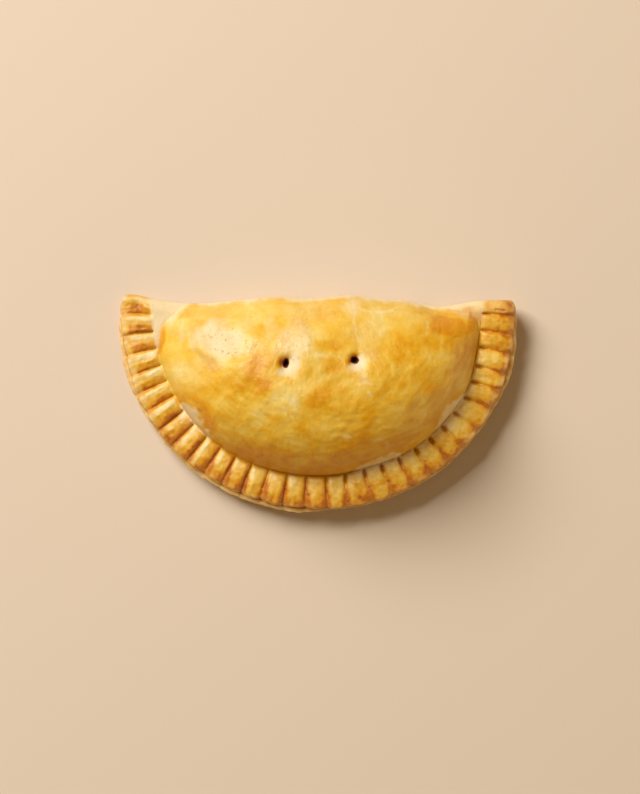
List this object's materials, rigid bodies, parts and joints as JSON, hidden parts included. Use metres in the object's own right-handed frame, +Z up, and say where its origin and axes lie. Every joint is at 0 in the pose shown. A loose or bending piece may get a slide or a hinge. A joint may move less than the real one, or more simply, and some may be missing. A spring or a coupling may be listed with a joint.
{
  "type": "empanada",
  "caption": "Half-moon baked turnover of golden crust, folded along one side, with a fork-crimped rim and steam vents in its domed top.",
  "frame": {"origin": "on the surface that it rests on, under the middle of its box", "axes": "+X along the fold, +Y towards the fold and -Y towards the crimped rim, +Z up through the domed side"},
  "size_m": [0.1352, 0.0732, 0.0304],
  "materials": {
    "baked_crust": "baked shortcrust brushed with egg, satin on top and matt where the egg missed it"
  },
  "bodies": {
    "root": {"empanada": "baked_crust"}
  },
  "joints": []
}
